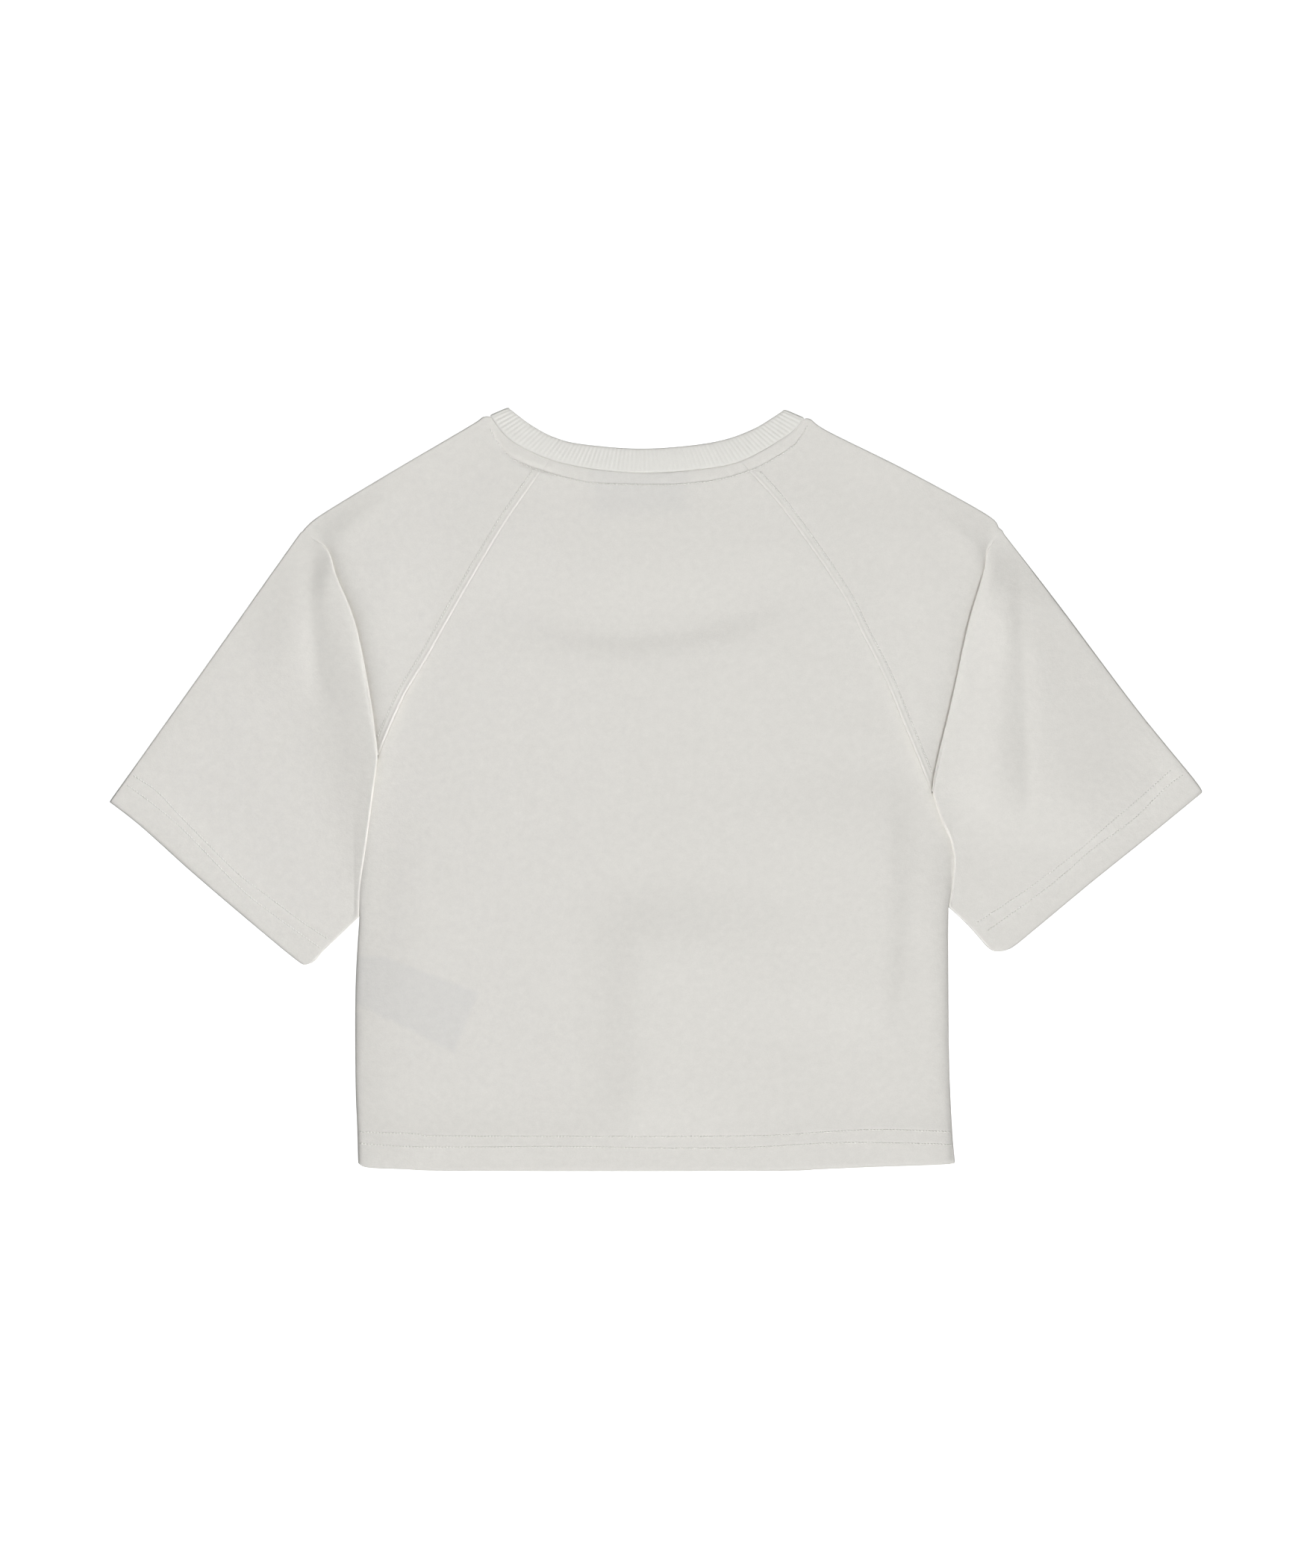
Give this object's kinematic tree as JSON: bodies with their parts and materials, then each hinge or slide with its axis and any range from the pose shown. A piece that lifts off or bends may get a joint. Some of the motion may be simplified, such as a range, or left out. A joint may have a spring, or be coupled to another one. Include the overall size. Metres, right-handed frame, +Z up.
{
  "type": "short-sleeved raglan sweatshirt",
  "caption": "Cropped short-sleeved raglan sweatshirt in ivory fleece with a rib crew collar, laid flat on its front with its back up.",
  "frame": {"origin": "middle of the garment's box, on the surface that it lies on", "axes": "+X to the right as it lies, across both sleeves (the wearer's left is at -X); +Y from the hem to the neck; +Z up, out of the back"},
  "size_m": [0.8041, 0.5628, 0.0072],
  "materials": {
    "fleece": "ivory brushed cotton fleece, matt, fine grain",
    "rib": "ivory 1x1 cotton rib, matt"
  },
  "bodies": {
    "root": {"front_panel": "fleece", "back_panel": "fleece", "sleeve_left": "fleece", "sleeve_right": "fleece", "neck_rib": "rib"}
  },
  "joints": []
}
